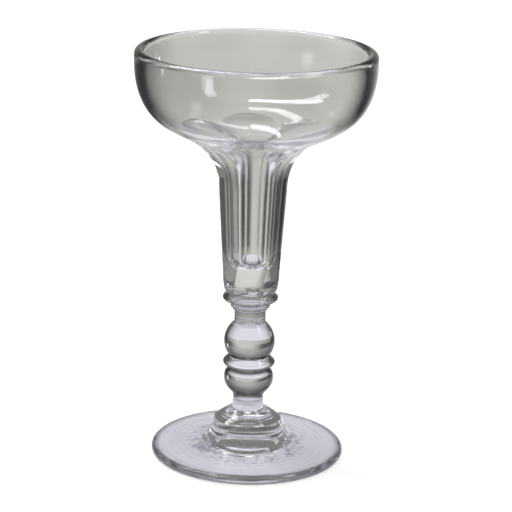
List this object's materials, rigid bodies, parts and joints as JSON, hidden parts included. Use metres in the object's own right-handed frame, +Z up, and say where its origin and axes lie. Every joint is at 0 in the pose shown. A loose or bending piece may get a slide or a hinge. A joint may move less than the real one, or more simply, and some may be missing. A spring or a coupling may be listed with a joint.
{
  "type": "champagne coupe",
  "caption": "Glass champagne coupe: wide shallow bowl on a hollow flat-cut stem, with a merese, ball, blade and baluster knops over a spreading foot.",
  "frame": {"origin": "on the table, under the middle of the foot", "axes": "+Z up along the axis of the glass; -Y is the front, where one flute faces"},
  "size_m": [0.0914, 0.0914, 0.1599],
  "materials": {
    "bowl_glass": "polished, faintly grey lead glass with flat wheel-cut flutes",
    "knop_glass": "fire-polished solid glass with fine tool rings",
    "foot_glass": "fire-polished glass with turning rings and a ground pontil mark"
  },
  "bodies": {
    "root": {"bowl": "bowl_glass", "merese": "knop_glass", "collar": "knop_glass", "ball_knop": "knop_glass", "blade_knop": "knop_glass", "baluster_knop": "knop_glass", "foot_cone": "foot_glass", "foot_disc": "foot_glass"}
  },
  "joints": []
}
